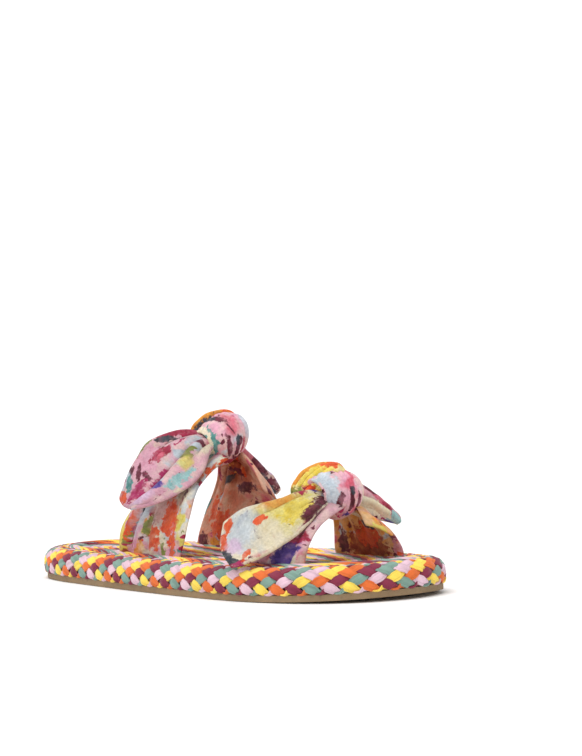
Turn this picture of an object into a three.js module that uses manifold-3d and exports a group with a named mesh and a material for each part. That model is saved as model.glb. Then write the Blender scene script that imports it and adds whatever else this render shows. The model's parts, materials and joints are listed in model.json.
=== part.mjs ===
// A flat slide sandal for the right foot, in millimetres: a thin rubber outsole, a plaited fabric edge
// round a coiled footbed, and two printed fabric straps that are each tied over the foot in a bow.
// +X points to the toe, +Y to the inner side of the foot and +Z up. The origin is on the flat
// underside, midway between the heel and the toe to within 3 mm, and the sole rests on z = 0.

import * as THREE from "three";
import { mergeVertices } from "three/addons/utils/BufferGeometryUtils.js";
import Module from "manifold-3d";

const wasm = await Module();
wasm.setup();

// ---- Driving dimensions ----

const toeX = 127;
const heelX = -123.5;
// Control points of the outermost outline, heel to toe and back along the inner side.
const outlineControl = [
  [heelX, 0], [-118, -18.5], [-105.5, -30.5], [-86, -36.8], [-60, -40], [-20, -44], [20, -46.3],
  [50, -46.6], [77, -43.5], [102, -34], [120, -17], [toeX, 8], [120, 29], [102, 39], [77, 45.2],
  [50, 46.5], [20, 43], [-20, 38.5], [-60, 36], [-86, 33.5], [-105.5, 28], [-118, 17.5],
];
const outlineSteps = 88;

const springStart = 60; // the sole is flat behind this x
const springRise = 2; // how far the toe end lifts
const gap = 0.3; // clearance between neighbouring solids

const outsole = { low: 0, high: 2.8, inset: 2 };
const edge = { low: outsole.high + gap, high: 14.4, width: 14, round: 5 };
const coreInset = edge.width + gap;
const midsole = { low: outsole.high + gap, high: 7.2, inset: coreInset };
const board = { low: midsole.high + gap, high: 8.8, inset: coreInset };
const tab = { low: board.high + gap, high: 9.9, reach: 20 };
const coil = { low: tab.high + gap, high: 14.2, inset: coreInset };

const strapThickness = 2.6;
const strapRoom = 0.5; // free space round a strap where it passes through the footbed
const legInset = edge.width + gap + strapRoom + strapThickness / 2;

// Each strap is two legs that rise from the footbed to the ends of a knot, a small loop over the knot,
// and two bow ears. Legs are given where they leave the footbed, beside the edge, by middle x and width,
// and by the control point that bends them over the foot.
const straps = {
  rear: {
    knot: { at: [-9, 8.5, 63], halfLength: 9, radius: 11.5, endRadius: 8.5 },
    topWidth: 18,
    legs: {
      lateral: { side: -1, x: -21, width: 53, bulge: [-25, 48] },
      medial: { side: 1, x: -26, width: 46, bulge: [27, 46] },
    },
    loop: { shiftX: -4, width: 12, radius: 16, thickness: 1.8 },
    ears: {
      lateral: { root: [-13, -5.5, 67], tip: [-24.5, -40.5, 41], across: [30, 0, -15], width: 27 },
      medial: { root: [-8, 21.5, 66], tip: [-16, 48, 40], across: [30, -7, -20], width: 26 },
    },
  },
  front: {
    knot: { at: [77, 4.5, 43], halfLength: 9, radius: 10.5, endRadius: 8 },
    topWidth: 18,
    legs: {
      lateral: { side: -1, x: 68.5, width: 37, bulge: [-22, 32] },
      medial: { side: 1, x: 69.5, width: 49, bulge: [27, 34] },
    },
    loop: { shiftX: -5, width: 12, radius: 14, thickness: 1.8 },
    ears: {
      lateral: { root: [73.5, -16.3, 42.2], tip: [58, -47.3, 23.2], across: [18, -5.4, -21.5], width: 26 },
      medial: { root: [79.5, 17.5, 48], tip: [70.5, 45.5, 29.5], across: [30, -7, -20], width: 24 },
    },
  },
};
const legCurveSteps = 10;
const earThickness = 4;

// ---- Helpers ----

const sandal = new THREE.Group();

const colours = {
  rubber: 0xa08764,
  foam: 0xe8dcc6,
  board: 0xc9ac82,
  braid: 0xd9a06a,
  footbed: 0xd8b090,
  print: 0xe3a9a0,
  lining: 0xd8c8b4,
};

function addPart(name, geometry, colour, roughness = 0.85) {
  const material = new THREE.MeshStandardMaterial({ color: colour, roughness, metalness: 0 });
  const mesh = new THREE.Mesh(geometry, material);
  mesh.name = name;
  sandal.add(mesh);
}

/** How far the sole is lifted at x: nothing under the foot, then a gentle curve up to the toe. */
function spring(x) {
  const along = Math.max(0, x - springStart) / (toeX - springStart);
  return springRise * along * along;
}

/** The geometry with positions only and shared corners merged, as the solids library needs. */
function bare(geometry) {
  const clean = geometry.clone();
  for (const name of Object.keys(clean.attributes)) {
    if (name !== "position") clean.deleteAttribute(name);
  }
  return mergeVertices(clean, 1e-4);
}

function toManifold(geometry) {
  const merged = bare(geometry);
  return new wasm.Manifold(new wasm.Mesh({
    numProp: 3,
    vertProperties: new Float32Array(merged.attributes.position.array),
    triVerts: new Uint32Array(merged.index.array),
  }));
}

function fromManifold(solid) {
  const mesh = solid.getMesh();
  const geometry = new THREE.BufferGeometry();
  geometry.setAttribute("position", new THREE.BufferAttribute(new Float32Array(mesh.vertProperties), 3));
  geometry.setIndex(new THREE.BufferAttribute(new Uint32Array(mesh.triVerts), 1));
  geometry.computeVertexNormals();
  return geometry;
}

// ---- Sole ----

const outlineCurve = new THREE.CatmullRomCurve3(
  outlineControl.map(([x, y]) => new THREE.Vector3(x, y, 0)), true, "centripetal");

/** The footbed outline moved inwards, as evenly spaced points. */
function insetOutline(inset) {
  const points = [];
  for (let i = 0; i < outlineSteps; i += 1) {
    const at = outlineCurve.getPointAt(i / outlineSteps);
    const along = outlineCurve.getTangentAt(i / outlineSteps);
    points.push(new THREE.Vector2(at.x - along.y * inset, at.y + along.x * inset));
  }
  return points;
}

/** An upright prism over a closed outline, taller than the sole. */
function prism(points) {
  const upright = new THREE.ExtrudeGeometry(new THREE.Shape(points), { depth: 60, bevelEnabled: false });
  return toManifold(upright.translate(0, 0, -20));
}

/** A wide slab between two heights that bends up with the toe. */
function slab(low, high) {
  const reach = toeX + 15;
  const stations = [-reach];
  for (let x = springStart; x < reach; x += 10) stations.push(x);
  stations.push(reach);
  const under = stations.map((x) => new THREE.Vector2(x, low + spring(x)));
  const over = stations.map((x) => new THREE.Vector2(x, high + spring(x))).reverse();
  const halfWidth = 70;
  const side = new THREE.Shape([...under, ...over]);
  const wide = new THREE.ExtrudeGeometry(side, { depth: 2 * halfWidth, bevelEnabled: false });
  return toManifold(wide.rotateX(Math.PI / 2).translate(0, halfWidth, 0));
}

/** One level of the sole: the part of a bent slab inside the inset outline. */
function level({ low, high, inset }) {
  return slab(low, high).intersect(prism(insetOutline(inset)));
}

/** The plaited edge as one ring with a rounded outer shoulder. */
function edgeRing() {
  const { low, high, width, round } = edge;
  const section = [[1.5, low], [0, low + 2.5]];
  const shoulderSteps = 3;
  for (let i = 0; i <= shoulderSteps; i += 1) {
    const turn = (i / shoulderSteps) * (Math.PI / 2);
    section.push([round * (1 - Math.cos(turn)), high - round * (1 - Math.sin(turn))]);
  }
  section.push([width - 2, high], [width, high - 1.2], [width, low]);
  const rings = section.map(([inset]) => insetOutline(inset));
  const positions = [];
  for (let i = 0; i < outlineSteps; i += 1) {
    section.forEach(([, z], j) => {
      const { x, y } = rings[j][i];
      positions.push(x, y, z + spring(x));
    });
  }
  const corner = (i, j) => (i % outlineSteps) * section.length + (j % section.length);
  const faces = [];
  for (let i = 0; i < outlineSteps; i += 1) {
    for (let j = 0; j < section.length; j += 1) {
      faces.push(corner(i, j), corner(i + 1, j), corner(i + 1, j + 1));
      faces.push(corner(i, j), corner(i + 1, j + 1), corner(i, j + 1));
    }
  }
  const ring = new THREE.BufferGeometry();
  ring.setAttribute("position", new THREE.Float32BufferAttribute(positions, 3));
  ring.setIndex(faces);
  return ring;
}

/** The y of the inset outline at x, on one side of the foot. */
function sideLine(side, inset, x) {
  const points = insetOutline(inset).filter((point) => Math.sign(point.y) === side);
  points.sort((a, b) => a.x - b.x);
  const next = points.findIndex((point) => point.x > x);
  const [a, b] = [points[next - 1], points[next]];
  return THREE.MathUtils.mapLinear(x, a.x, b.x, a.y, b.y);
}

/** An upright prism along the edge, as long as a strap leg is wide, from an inset line inwards. */
function legPrism({ side, x, width }, inset, depth) {
  const stations = [-0.5, -0.25, 0, 0.25, 0.5].map((share) => x + share * width);
  const near = stations.map((at) => new THREE.Vector2(at, sideLine(side, inset, at)));
  const far = near.map((point) => new THREE.Vector2(point.x, point.y - side * depth)).reverse();
  return prism([...near, ...far]);
}

function forEachLeg(visit) {
  for (const [place, strap] of Object.entries(straps)) {
    for (const [side, leg] of Object.entries(strap.legs)) visit(place, strap, side, leg);
  }
}

/** The coiled footbed with a slit for each strap leg. */
function footbedCoil() {
  let solid = level(coil);
  forEachLeg((place, strap, side, leg) => {
    const wide = { ...leg, width: leg.width + 2 * strapRoom };
    const slitOverrun = 1; // the slit is open on the edge's side
    const slitDepth = slitOverrun + gap + strapThickness + 2 * strapRoom;
    solid = solid.subtract(legPrism(wide, edge.width - slitOverrun, slitDepth));
  });
  return fromManifold(solid);
}

/** The hidden end of a strap leg, turned inwards between the board and the footbed. */
function anchorTab(leg) {
  const narrow = { ...leg, width: leg.width - 2 };
  return fromManifold(slab(tab.low, tab.high).intersect(legPrism(narrow, coreInset, tab.reach)));
}

// ---- Straps ----

/** A strap leg: a band along an arch from the footbed to the knot, narrowing as it rises. */
function strapLeg(strap, leg) {
  const { side } = leg;
  const [knotX, knotY, knotZ] = strap.knot.at;
  const baseY = sideLine(side, legInset, leg.x);
  const start = new THREE.Vector2(baseY, coil.low);
  const top = new THREE.Vector2(knotY + side * (strap.knot.halfLength + gap), knotZ - 2);
  const straightUp = new THREE.Vector2(baseY, coil.low + 12);
  const arch = new THREE.CubicBezierCurve(start, straightUp, new THREE.Vector2(...leg.bulge), top);
  const inner = [];
  const outer = [];
  for (let i = 0; i <= legCurveSteps; i += 1) {
    const at = arch.getPoint(i / legCurveSteps);
    const along = arch.getTangent(i / legCurveSteps);
    const half = strapThickness / 2;
    // The first section is level and the last is upright, so each end lies flat against its neighbour.
    const across = new THREE.Vector2(-along.y, along.x);
    if (i === 0) across.set(-1, 0);
    if (i === legCurveSteps) across.set(0, side < 0 ? 1 : -1);
    inner.push(at.clone().addScaledVector(across, half));
    outer.push(at.clone().addScaledVector(across, -half));
  }
  const band = new THREE.Shape([...inner, ...outer.reverse()]);
  const solid = new THREE.ExtrudeGeometry(band, { depth: 1, steps: 4, bevelEnabled: false });
  const positions = solid.attributes.position;
  for (let i = 0; i < positions.count; i += 1) {
    const y = positions.getX(i);
    const z = positions.getY(i);
    const rise = THREE.MathUtils.clamp((z - coil.high) / (top.y - coil.high), 0, 1);
    const narrowing = Math.pow(rise, 1.6);
    const width = THREE.MathUtils.lerp(leg.width, strap.topWidth, narrowing);
    const middle = THREE.MathUtils.lerp(leg.x, knotX, narrowing);
    const x = middle + (positions.getZ(i) - 0.5) * width;
    const alongEdge = (sideLine(side, legInset, x) - baseY) * (1 - narrowing);
    positions.setXYZ(i, x, y + alongEdge, z + spring(x));
  }
  return solid;
}

/** A knot: a barrel across the foot with flat ends, where the legs meet it. */
function knotBarrel({ at, halfLength, radius, endRadius }) {
  const profile = [new THREE.Vector2(0, -halfLength)];
  const steps = 6;
  for (let i = 0; i <= steps; i += 1) {
    const along = -1 + (2 * i) / steps;
    const r = endRadius + (radius - endRadius) * (1 - along * along);
    profile.push(new THREE.Vector2(r, along * halfLength));
  }
  profile.push(new THREE.Vector2(0, halfLength));
  return new THREE.LatheGeometry(profile, 20).translate(...at);
}

/** The short loop of fabric that stands over a knot: part of a ring across the foot. */
function topLoop({ knot, loop }) {
  const from = Math.PI * 0.2;
  const to = Math.PI * 0.8;
  const arc = new THREE.Shape();
  arc.absarc(0, 0, loop.radius, from, to, false);
  arc.absarc(0, 0, loop.radius - loop.thickness, to, from, true);
  const band = new THREE.ExtrudeGeometry(arc, { depth: loop.width, bevelEnabled: false, curveSegments: 10 });
  band.translate(0, 0, -loop.width / 2);
  band.applyMatrix4(new THREE.Matrix4().makeBasis(
    new THREE.Vector3(0, 1, 0), new THREE.Vector3(0, 0, 1), new THREE.Vector3(1, 0, 0)));
  const [x, y, z] = knot.at;
  return band.translate(x + loop.shiftX, y, z);
}

/** A bow ear: a flat leaf of folded fabric from the knot's end down beside the leg. */
function bowEar({ root, tip, across, width }) {
  const from = new THREE.Vector3(...root);
  const along = new THREE.Vector3(...tip).sub(from);
  const length = along.length();
  along.normalize();
  const leaf = new THREE.Shape();
  leaf.moveTo(0, -4);
  leaf.bezierCurveTo(length * 0.2, -width * 0.5, length * 0.55, -width * 0.62, length, -width * 0.2);
  leaf.lineTo(length, width * 0.2);
  leaf.bezierCurveTo(length * 0.55, width * 0.62, length * 0.2, width * 0.5, 0, 4);
  const solid = new THREE.ExtrudeGeometry(leaf, { depth: earThickness, bevelEnabled: false, curveSegments: 8 });
  solid.translate(0, 0, -earThickness / 2);
  const wide = new THREE.Vector3(...across);
  wide.addScaledVector(along, -wide.dot(along)).normalize();
  const normal = new THREE.Vector3().crossVectors(along, wide);
  solid.applyMatrix4(new THREE.Matrix4().makeBasis(along, wide, normal));
  return solid.translate(...root);
}

// ---- Assembly ----

addPart("outsole", fromManifold(level(outsole)), colours.rubber, 0.7);
addPart("midsole", fromManifold(level(midsole)), colours.foam);
addPart("insole_board", fromManifold(level(board)), colours.board);
addPart("edge_braid", edgeRing(), colours.braid);
addPart("footbed_coil", footbedCoil(), colours.footbed);

forEachLeg((place, strap, side, leg) => {
  addPart(`${place}_${side}_anchor_tab`, anchorTab(leg), colours.lining);
  addPart(`${place}_${side}_strap_leg`, strapLeg(strap, leg), colours.print, 0.75);
});

for (const [place, strap] of Object.entries(straps)) {
  addPart(`${place}_knot`, knotBarrel(strap.knot), colours.print, 0.75);
  addPart(`${place}_top_loop`, topLoop(strap), colours.print, 0.75);
  for (const [side, ear] of Object.entries(strap.ears)) {
    addPart(`${place}_${side}_bow_ear`, bowEar(ear), colours.print, 0.75);
  }
}

export default sandal;
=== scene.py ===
"""A slide sandal: plaited edge, coiled plait footbed, and two knotted straps of printed cloth.

Lengths are in millimetres until a mesh is made, where they become metres. +X is the toe, +Z is up.
"""

import json
import math

import bpy
import numpy as np
from mathutils import Matrix, Vector


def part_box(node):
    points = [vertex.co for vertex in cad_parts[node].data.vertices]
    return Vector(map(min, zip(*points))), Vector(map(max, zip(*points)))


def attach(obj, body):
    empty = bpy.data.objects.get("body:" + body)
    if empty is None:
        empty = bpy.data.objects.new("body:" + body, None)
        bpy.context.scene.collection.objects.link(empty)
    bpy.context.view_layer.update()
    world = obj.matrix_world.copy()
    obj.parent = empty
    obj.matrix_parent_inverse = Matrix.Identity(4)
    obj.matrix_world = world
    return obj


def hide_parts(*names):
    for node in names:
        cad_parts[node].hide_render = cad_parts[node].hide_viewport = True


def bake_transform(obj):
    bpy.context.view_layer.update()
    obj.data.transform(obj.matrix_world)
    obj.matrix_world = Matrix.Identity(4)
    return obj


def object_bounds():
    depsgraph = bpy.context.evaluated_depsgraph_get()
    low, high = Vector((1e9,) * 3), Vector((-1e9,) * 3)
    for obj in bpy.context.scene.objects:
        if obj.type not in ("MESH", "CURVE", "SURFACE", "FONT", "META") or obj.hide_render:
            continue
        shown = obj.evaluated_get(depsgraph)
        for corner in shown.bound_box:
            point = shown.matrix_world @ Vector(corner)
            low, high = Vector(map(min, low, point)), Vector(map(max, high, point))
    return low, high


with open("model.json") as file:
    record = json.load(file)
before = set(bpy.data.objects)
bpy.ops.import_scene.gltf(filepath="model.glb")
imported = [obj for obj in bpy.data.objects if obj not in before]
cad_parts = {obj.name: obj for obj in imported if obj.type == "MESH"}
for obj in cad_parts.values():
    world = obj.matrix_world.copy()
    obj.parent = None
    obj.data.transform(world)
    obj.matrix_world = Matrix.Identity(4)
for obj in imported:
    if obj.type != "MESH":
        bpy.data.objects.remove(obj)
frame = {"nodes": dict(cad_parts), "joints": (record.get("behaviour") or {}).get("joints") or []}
CAD_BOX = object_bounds()
# Metres in a millimetre, and millimetres in a centimetre, which is the unit of every cloth's uvs.
MM = 0.001
CM = 10

# -------- places, from the frame


def corners(node):
    """Lowest and highest corner of a CAD node, in millimetres."""
    low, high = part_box(node)
    return np.array(low) / MM, np.array(high) / MM


def centre(node):
    low, high = corners(node)
    return (low + high) / 2


def walls(node):
    """The x, y and lowest z of a slab's upright walls, in order round it, in millimetres."""
    mesh = frame["nodes"][node].data
    heights = {}
    for face in mesh.polygons:
        if abs(face.normal.z) > 0.3:
            continue
        for index in face.vertices:
            x, y, z = (round(value / MM, 2) for value in mesh.vertices[index].co)
            heights[x, y] = min(z, heights.get((x, y), z))
    points = np.array([(x, y, z) for (x, y), z in heights.items()])
    middle = points.mean(0)
    order = np.argsort(np.arctan2(points[:, 1] - middle[1], points[:, 0] - middle[0]))
    return points[order]


def even(line, count, closed=False):
    """The line cut into count evenly parted points."""
    if closed:
        line = np.vstack([line, line[:1]])
    steps = np.linalg.norm(np.diff(line, axis=0), axis=1)
    run = np.concatenate([[0], np.cumsum(steps)])
    at = np.linspace(0, run[-1], count, endpoint=not closed)
    return np.column_stack([np.interp(at, run, line[:, k]) for k in range(line.shape[1])])


def spline(points, count, closed=False):
    """A smooth curve through the points, as count evenly parted points."""
    p = np.array(points, float)
    if closed:
        p = np.vstack([p[-1:], p, p[:2]])
    else:
        p = np.vstack([2 * p[0] - p[1], p, 2 * p[-1] - p[-2]])
    a, b, c, d = (p[k:len(p) - 3 + k, None, :] for k in range(4))
    t = np.linspace(0, 1, 12, endpoint=False)[None, :, None]
    fine = 0.5 * (2 * b + (c - a) * t + (2 * a - 5 * b + 4 * c - d) * t**2
                  + (3 * b - a - 3 * c + d) * t**3)
    fine = fine.reshape(-1, p.shape[1])
    if not closed:
        fine = np.vstack([fine, p[-2:-1]])
    return even(fine, count, closed)


def inward(loop):
    """Unit vectors that point into a loop that runs anticlockwise seen from above."""
    ahead = np.roll(loop, -1, 0) - np.roll(loop, 1, 0)
    ahead /= np.linalg.norm(ahead, axis=1)[:, None]
    return np.column_stack([-ahead[:, 1], ahead[:, 0]])


SOLE_WALL = walls("outsole")
OUTLINE = spline(SOLE_WALL[:, :2], 720, closed=True)
# The plait stands this far outside the rubber.
RUBBER_INSET = 2.0
BY_X = SOLE_WALL[np.argsort(SOLE_WALL[:, 0])]


def spring(x):
    """How far the toe is lifted at x."""
    return np.interp(x, BY_X[:, 0], BY_X[:, 2])


def inset_loop(inset, count):
    """The sole's outermost outline moved in by inset; what folds over itself in the ends is left out."""
    distance = inset - RUBBER_INSET
    moved = OUTLINE + distance * inward(OUTLINE)
    nearest = np.linalg.norm(moved[:, None] - OUTLINE[None], axis=2).min(1)
    kept = moved[nearest > abs(distance) - 0.2]
    for _ in range(6):
        kept = (np.roll(kept, 1, 0) + 2 * kept + np.roll(kept, -1, 0)) / 4
    return spline(even(kept, len(kept) // 3, closed=True), count, closed=True)


REAR = centre("rear_knot")
FRONT = centre("front_knot")

# -------- materials


def rgb(red, green, blue):
    """A colour given as on a screen, 0 to 255, as the linear values that shaders use."""
    def linear(value):
        value /= 255
        return value / 12.92 if value <= 0.04045 else ((value + 0.055) / 1.055) ** 2.4
    return (linear(red), linear(green), linear(blue), 1.0)


CREAM = rgb(240, 228, 200)
MIST = rgb(205, 214, 222)
PINK = rgb(228, 168, 188)
ROSE = rgb(222, 110, 132)
CRIMSON = rgb(178, 40, 78)
BURGUNDY = rgb(112, 36, 58)
ORANGE = rgb(232, 98, 48)
AMBER = rgb(232, 160, 62)
YELLOW = rgb(238, 216, 100)
LEMON = rgb(230, 216, 112)
AQUA = rgb(166, 208, 208)
TEAL = rgb(96, 156, 152)
PURPLE = rgb(96, 72, 160)
MAGENTA = rgb(186, 48, 106)
OLIVE = rgb(140, 146, 70)
SLATE = rgb(70, 74, 84)
LILAC = rgb(226, 196, 222)
BLUSH = rgb(224, 186, 176)
SALMON = rgb(228, 138, 108)
RUST = rgb(170, 78, 40)


class Shader:
    """A material with its nodes, made by short calls."""

    def __init__(self, name, roughness, sheen=0.0, specular=0.35):
        self.material = bpy.data.materials.new(name)
        self.material.use_nodes = True
        self.tree = self.material.node_tree
        self.surface = self.tree.nodes["Principled BSDF"]
        self.surface.inputs["Roughness"].default_value = roughness
        self.surface.inputs["Specular IOR Level"].default_value = specular
        self.surface.inputs["Sheen Weight"].default_value = sheen
        self.surface.inputs["Sheen Roughness"].default_value = 0.4

    def put(self, kind, inputs, **settings):
        """Adds a node. An input is another node's socket or a plain value."""
        node = self.tree.nodes.new(kind)
        for name, value in settings.items():
            setattr(node, name, value)
        for name, value in inputs.items():
            if isinstance(value, bpy.types.NodeSocket):
                self.tree.links.new(value, node.inputs[name])
            else:
                node.inputs[name].default_value = value
        return node

    def mix(self, factor, first, second, blend="MIX"):
        node = self.put("ShaderNodeMix", {0: factor, 6: first, 7: second},
                        data_type="RGBA", blend_type=blend)
        return node.outputs[2]

    def noise(self, vector, scale, detail=3.0, output="Fac"):
        return self.put("ShaderNodeTexNoise", {
            "Vector": vector, "Scale": scale, "Detail": detail, "Roughness": 0.55}).outputs[output]

    def span(self, value, low, high, to_low=0.0, to_high=1.0):
        """value from low to high, eased, as to_low to to_high."""
        node = self.put("ShaderNodeMapRange", {
            "Value": value, "From Min": low, "From Max": high,
            "To Min": to_low, "To Max": to_high}, interpolation_type="SMOOTHSTEP")
        return node.outputs["Result"]

    def moved(self, vector, offset):
        return self.put("ShaderNodeVectorMath", {0: vector, 1: offset}).outputs[0]

    def warped(self, vector, scale, amount, detail=3.0):
        """vector pushed about by noise, so that what is painted with it has a ragged edge."""
        push = self.put("ShaderNodeVectorMath", {
            0: self.noise(vector, scale, detail, "Color"), 1: (0.5, 0.5, 0.5)},
            operation="SUBTRACT").outputs[0]
        return self.put("ShaderNodeVectorMath", {0: push, 1: (amount,) * 3, 2: vector},
                        operation="MULTIPLY_ADD").outputs[0]

    def dab(self, vector, at, size, turn, ragged, opacity, fade):
        """opacity inside a brush dab and 0 outside it, with an edge that follows ragged."""
        local = self.put("ShaderNodeMapping", {
            "Vector": vector, "Location": (*at, 0), "Rotation": (0, 0, math.radians(turn)),
            "Scale": (*size, 1)}, vector_type="TEXTURE").outputs[0]
        reach = self.put("ShaderNodeVectorMath", {0: local}, operation="LENGTH").outputs["Value"]
        torn = self.put("ShaderNodeMath", {0: reach, 1: ragged}, operation="ADD").outputs[0]
        return self.put("ShaderNodeMath", {0: self.span(torn, 1 + fade, 1 - fade), 1: opacity},
                        operation="MULTIPLY").outputs[0]

    def bump(self, height, distance, strength, below=None):
        inputs = {"Height": height, "Distance": distance, "Strength": strength}
        if below is not None:
            inputs["Normal"] = below
        return self.put("ShaderNodeBump", inputs).outputs["Normal"]

    def finish(self, colour, normal):
        self.tree.links.new(colour, self.surface.inputs["Base Color"])
        self.tree.links.new(normal, self.surface.inputs["Normal"])
        return self.material


# Washes of the print: colour, scale per cm, where it starts and is full, whether its edge is torn.
WASHES = [
    (PINK, 0.55, 0.50, 0.57, False),
    (BLUSH, 0.7, 0.56, 0.62, False),
    (AMBER, 0.8, 0.63, 0.67, False),
    (ORANGE, 0.75, 0.60, 0.63, True),
    (LEMON, 0.6, 0.62, 0.68, False),
    (TEAL, 0.85, 0.655, 0.68, True),
    (CRIMSON, 0.8, 0.625, 0.64, True),
    (BURGUNDY, 1.1, 0.655, 0.665, True),
    (OLIVE, 1.0, 0.68, 0.70, True),
    (PURPLE, 0.9, 0.69, 0.71, True),
]

# Small washes over a cloth that has one tint.
ACCENTS = [
    (ROSE, 0.8, 0.58, 0.72, False),
    (MIST, 0.7, 0.60, 0.68, False),
    (CREAM, 0.9, 0.66, 0.74, False),
    (MAGENTA, 1.0, 0.66, 0.69, True),
    (BURGUNDY, 1.3, 0.665, 0.68, True),
]


def darker(paint):
    """The same paint where it has pooled: what it lets through is cut once more."""
    return tuple(value ** 1.6 for value in paint[:3]) + (1.0,)


def print_ground(s, flow, base):
    """Cream that runs into mist, or the base tint that runs into a paler one."""
    if base is None:
        return s.mix(s.span(s.noise(flow, 0.6), 0.42, 0.58), CREAM, MIST)
    paler = tuple(0.55 * value + 0.45 * other for value, other in zip(base, CREAM))
    return s.mix(s.span(s.noise(flow, 1.2), 0.35, 0.65), base, paler)


def print_washes(s, colour, washes, deep, smooth, torn, seed):
    """Broad patches of paint, with a smooth or a torn edge. deep is where the paint has pooled."""
    for number, (paint, scale, low, high, is_torn) in enumerate(washes):
        where = s.moved(torn if is_torn else smooth, (0.0, 0.0, 7.3 * number + seed))
        wash = s.span(s.noise(where, scale, 2.0), low, high)
        colour = s.mix(wash, colour, s.mix(deep, paint, darker(paint)))
    return colour


def print_dabs(s, colour, dabs, deep, place, drawn, size):
    """Brush dabs: most are nearly opaque with a ragged edge, and the soft ones fade out like wet paint."""
    bent = s.warped(place, 1.6, 0.45)
    ragged = s.span(s.noise(s.warped(place, 5.0, 0.3, 4.0), 3.2, 5.0), 0.25, 0.75, -0.42, 0.42)
    wet = s.span(s.noise(bent, 1.8, 4.0), 0.25, 0.75, -0.36, 0.36)
    opacity = s.span(s.noise(drawn, 2.4, 5.0), 0.3, 0.55, 0.75, 1.0)
    width, length = size
    for paint, across, along, radius, other, turn, *kind in dabs:
        at = (across * width / CM, along * length / CM)
        edge = (wet, 0.85, 0.45) if kind else (ragged, opacity, 0.16)
        mask = s.dab(bent, at, (radius / CM, other / CM), turn, *edge)
        colour = s.mix(mask, colour, s.mix(deep, paint, darker(paint)))
    return colour


def woven_bump(s, place, drawn):
    """Fine crossing threads over broad soft creases."""
    threads = [s.put("ShaderNodeTexWave", {"Vector": place, "Scale": 6.5, "Distortion": 0.4},
                     bands_direction=way).outputs["Fac"] for way in "XY"]
    weave = s.put("ShaderNodeMath", {0: threads[0], 1: threads[1]}, operation="ADD").outputs[0]
    creases = s.noise(s.warped(drawn, 0.9, 1.2), 2.2, 4.0)
    return s.bump(weave, 0.00008, 0.5, s.bump(creases, 0.0009, 0.5))


def print_cloth(name, size, seed, dabs=(), base=None, painted_shade_dim=1.0):
    """Cloth printed with a loose watercolour of flowers.

    size is the cloth's width and length in millimetres. Each dab is colour, place across and along
    as shares of the size, its two radii in millimetres, its turn in degrees and, if wanted, "soft".
    base is one tint under the dabs, with fewer washes. The last argument is painted shade: how bright the
    whole print is, below 1 where the piece lies in shade.
    """
    s = Shader(name, roughness=0.72, sheen=0.12)
    place = s.put("ShaderNodeUVMap", {}, uv_map="cloth").outputs[0]
    drawn = s.moved(place, (seed * 3.7, seed * 1.9, 0.0))
    smooth = s.warped(drawn, 0.8, 0.9)
    torn = s.warped(smooth, 5.0, 0.35, 4.0)
    deep = s.span(s.noise(s.warped(drawn, 2.0, 0.5), 2.6, 5.0), 0.42, 0.68, 0.0, 0.8)
    colour = print_ground(s, smooth, base)
    colour = print_washes(s, colour, WASHES if base is None else ACCENTS, deep, smooth, torn, seed)
    colour = print_dabs(s, colour, dabs, deep, place, drawn, size)
    pool = s.span(s.noise(smooth, 1.5, 5.0), 0.3, 0.7, 0.88, 1.08)
    colour = s.mix(1.0, colour, pool, blend="MULTIPLY")
    # Fine random grain. The whole print is also darkened by the last argument, as painted shade on pieces
    # that lie in shade.
    grain = s.span(s.noise(drawn, 9.0, 4.0), 0.3, 0.7, 0.86 * painted_shade_dim, 1.06 * painted_shade_dim)
    colour = s.mix(1.0, colour, grain, blend="MULTIPLY")
    return s.finish(colour, woven_bump(s, place, drawn))


def strand_cloth(name, colour):
    """The folded jersey of a plait's strand: one colour with painted shade in the grooves of its lengthways
    folds, and a soft nap.
    """
    s = Shader(name, roughness=0.85, sheen=0.2, specular=0.25)
    place = s.put("ShaderNodeUVMap", {}, uv_map="cloth").outputs[0]
    long = s.put("ShaderNodeVectorMath", {0: place, 1: (7.0, 0.35, 1.0)},
                 operation="MULTIPLY").outputs[0]
    folds = s.noise(s.warped(long, 0.8, 0.6), 1.3)
    shade = s.span(s.noise(place, 1.4), 0.3, 0.7, 0.96, 1.14)
    tinted = s.mix(1.0, colour, shade, blend="MULTIPLY")
    # Painted shade: the colour is darkened down the grooves of the folds.
    tinted = s.mix(s.span(folds, 0.52, 0.36, 0.0, 0.35), tinted,
                   tuple(0.55 * value for value in colour[:3]) + (1.0,))
    rib = s.put("ShaderNodeTexWave", {"Vector": place, "Scale": 5.0, "Distortion": 1.0},
                bands_direction="Y").outputs["Fac"]
    normal = s.bump(rib, 0.00006, 0.35, s.bump(folds, 0.0012, 0.6))
    return s.finish(tinted, normal)


def moulded(name, colour, rough, pits, depth):
    """Rubber, foam or board: one colour, mottled, with a fine pitted surface."""
    s = Shader(name, roughness=rough, specular=0.3)
    place = s.put("ShaderNodeTexCoord", {}).outputs["Object"]
    mottle = s.span(s.noise(place, 60.0, 5.0), 0.3, 0.7, 0.82, 1.08)
    tinted = s.mix(1.0, colour, mottle, blend="MULTIPLY")
    specks = s.span(s.noise(place, pits, 2.0), 0.6, 0.68, 0.0, 0.3)
    tinted = s.mix(specks, tinted, tuple(0.5 * value for value in colour[:3]) + (1.0,))
    return s.finish(tinted, s.bump(s.noise(place, pits, 4.0), depth, 0.5))


# -------- meshes


def add(name, data):
    """A new object in the scene."""
    thing = bpy.data.objects.new(name, data)
    bpy.context.scene.collection.objects.link(thing)
    return thing


def make_mesh(name, points, faces, uvs, material):
    """A smooth mesh object, made in metres. uvs has one place for each corner of each face."""
    mesh = bpy.data.meshes.new(name)
    mesh.from_pydata((points * MM).tolist(), [], faces)
    layer = mesh.uv_layers.new(name="cloth")
    layer.data.foreach_set("uv", uvs.astype(np.float32).ravel())
    mesh.polygons.foreach_set("use_smooth", [True] * len(mesh.polygons))
    mesh.materials.append(material)
    return add(name, mesh)


def unit(vectors):
    return vectors / np.linalg.norm(vectors, axis=-1, keepdims=True)


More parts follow.
